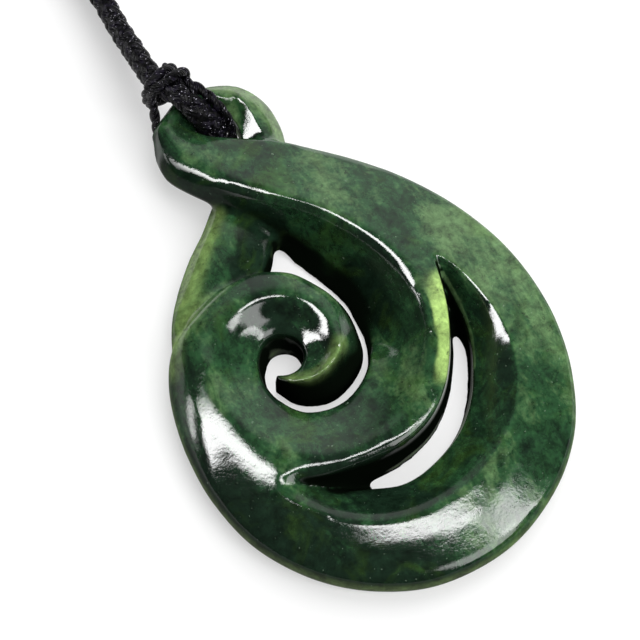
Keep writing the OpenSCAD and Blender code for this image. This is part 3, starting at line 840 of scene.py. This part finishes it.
# Black waxed thread, laid and plaited: near black with a faint purple, a soft gloss from the wax and small
# glints on its fibres, painted as pale specks
threadLook = {
    "colour": "#020203",
    "worn": {"colour": "#1e1a28", "none": 0.45, "full": 0.8, "strength": 1.0},
    "glints": {"colour": "#c9c6d4", "none": 0.70, "full": 0.75, "strength": 1.0},
    # Patterns: the size of a patch in millimetres and the noise's detail
    "patterns": {"worn": (0.7, 4), "glints": (0.2, 1), "fuzz": (0.3, 3)},
    "noiseRoughness": 0.55,
    "roughness": 0.36,
    "fibresAround": 8,          # a real strand has dozens, too fine to show
    "fibres": 0.07 * millimetre,
}


def makeThread(look):
    material, tree = startMaterial("black waxed thread")
    place = addNode(tree, "TexCoord").outputs["Object"]
    patterns = {}
    for name, (size, detail) in look["patterns"].items():
        patterns[name] = addNode(tree, "TexNoise", {"Vector": place, "Scale": 1 / (size * millimetre),
                                                    "Detail": detail, "Roughness": look["noiseRoughness"]})
    colour = layColour(tree, linear(look["colour"]), patterns["worn"], look["worn"])
    # Painted highlight: the glints are pale specks in the colour
    colour = layColour(tree, colour, patterns["glints"], look["glints"])

    # Fibres wind round each strand: one turn of the strand's own map for each ply length
    strand = addNode(tree, "SeparateXYZ", {"Vector": addNode(tree, "UVMap", uv_map="strand")})
    around = addNode(tree, "Math", {0: strand.outputs["X"], 1: look["fibresAround"]}, operation="MULTIPLY")
    wound = addNode(tree, "Math", {0: around, 1: strand.outputs["Y"]}, operation="ADD")
    angle = addNode(tree, "Math", {0: wound, 1: 2 * math.pi}, operation="MULTIPLY")
    fibres = addNode(tree, "Math", {0: angle}, operation="SINE")
    height = addNode(tree, "Math", {0: fibres, 1: 0.5, 2: patterns["fuzz"]}, operation="MULTIPLY_ADD")
    bump = addNode(tree, "Bump", {"Height": height, "Strength": 1.0, "Distance": look["fibres"]})
    shader = addNode(tree, "BsdfPrincipled", {"Base Color": colour, "Roughness": look["roughness"],
                                              "Specular IOR Level": 0.12, "Normal": bump})
    addNode(tree, "OutputMaterial", {"Surface": shader})
    return material


thread = makeThread(threadLook)
for piece in (neckCord, sideStrand, hitchStrand):
    piece.data.materials.append(thread)
stage("materials")


# Floor and light: a white light table under soft boxes
studio = {
    "halfWidth": 3.0,
    "floor": "#a2a2a2",
    "shine": 0.53,   # light that comes up through the table
    "world": 0.05,
    # A pale wall on one side, that fades into the dark room
    "wall": {"around": 52, "up": 27, "core": 8, "reach": 48, "glow": 0.6},
    "away": 0.6,     # from the middle to each lamp
}
# Soft boxes: degrees round from +X and up from the table, width and height in metres, degrees of roll.
# A hung sheet on the left is seen only as gloss, and the window only as soft light.
lamps = {
    "window": {"around": 40, "up": 57, "width": 0.60, "height": 0.60, "roll": 0, "glow": 4.3,
               "unseen": "visible_glossy"},
    "left box": {"around": 160, "up": 49, "width": 0.14, "height": 0.66, "roll": 0, "glow": 18,
                 "unseen": "visible_diffuse"},
    "top strip": {"around": -75, "up": 72, "width": 0.27, "height": 0.07, "roll": -35, "glow": 16},
    "right strip": {"around": -48, "up": 48, "width": 0.12, "height": 0.25, "roll": 0, "glow": 9},
    "right box": {"around": -70, "up": 40, "width": 0.26, "height": 0.34, "roll": 0, "glow": 4},
    "low box": {"around": 154, "up": 6, "width": 0.08, "height": 0.08, "roll": 0, "glow": 9},
}


def directionTo(around, up):
    around, up = math.radians(around), math.radians(up)
    return Vector((math.cos(around) * math.cos(up), math.sin(around) * math.cos(up), math.sin(up)))


def makeFloor(look):
    half = look["halfWidth"]
    corners = [(-half, -half, 0), (half, -half, 0), (half, half, 0), (-half, half, 0)]
    mesh = bpy.data.meshes.new("floor")
    mesh.from_pydata(corners, [], [(0, 1, 2, 3)])
    floor = bpy.data.objects.new("floor", mesh)
    bpy.context.scene.collection.objects.link(floor)
    # Matt opal acrylic, lit from below: pale and without gloss
    material, tree = startMaterial("matt opal light table")
    shader = addNode(tree, "BsdfPrincipled", {
        "Base Color": linear(look["floor"]), "Roughness": 0.6, "Specular IOR Level": 0.0,
        "Emission Color": (1, 1, 1, 1), "Emission Strength": look["shine"],
    })
    addNode(tree, "OutputMaterial", {"Surface": shader})
    mesh.materials.append(material)


def makeWorld(look):
    world = bpy.data.worlds.new("studio")
    world.use_nodes = True
    bpy.context.scene.world = world
    tree = world.node_tree
    wall = look["wall"]
    towards = addNode(tree, "TexCoord").outputs["Generated"]
    aligned = addNode(tree, "VectorMath", {0: towards, 1: directionTo(wall["around"], wall["up"])},
                      operation="DOT_PRODUCT").outputs["Value"]
    share = addNode(tree, "MapRange", {
        "Value": aligned, "From Min": math.cos(math.radians(wall["reach"])),
        "From Max": math.cos(math.radians(wall["core"])),
    }, interpolation_type="SMOOTHSTEP")
    strength = addNode(tree, "Math", {0: share, 1: wall["glow"], 2: look["world"]}, operation="MULTIPLY_ADD")
    tree.links.new(strength.outputs[0], tree.nodes["Background"].inputs["Strength"])
    tree.nodes["Background"].inputs["Color"].default_value = (1, 1, 1, 1)


def makeLamp(name, look, away):
    data = bpy.data.lights.new(name, "AREA")
    data.shape = "RECTANGLE"
    data.size = look["width"]
    data.size_y = look["height"]
    data.energy = look["glow"] * math.pi * look["width"] * look["height"]
    lamp = bpy.data.objects.new(name, data)
    direction = directionTo(look["around"], look["up"])
    roll = Matrix.Rotation(math.radians(look["roll"]), 3, "Z")
    turned = direction.to_track_quat("Z", "Y").to_matrix() @ roll
    lamp.matrix_world = Matrix.Translation(direction * away) @ turned.to_4x4()
    if "unseen" in look:
        setattr(lamp, look["unseen"], False)
    bpy.context.scene.collection.objects.link(lamp)


makeFloor(studio)
makeWorld(studio)
for name, look in lamps.items():
    makeLamp(name, look, studio["away"])
bpy.context.scene.view_settings.view_transform = "Standard"
stage("floor and lights")
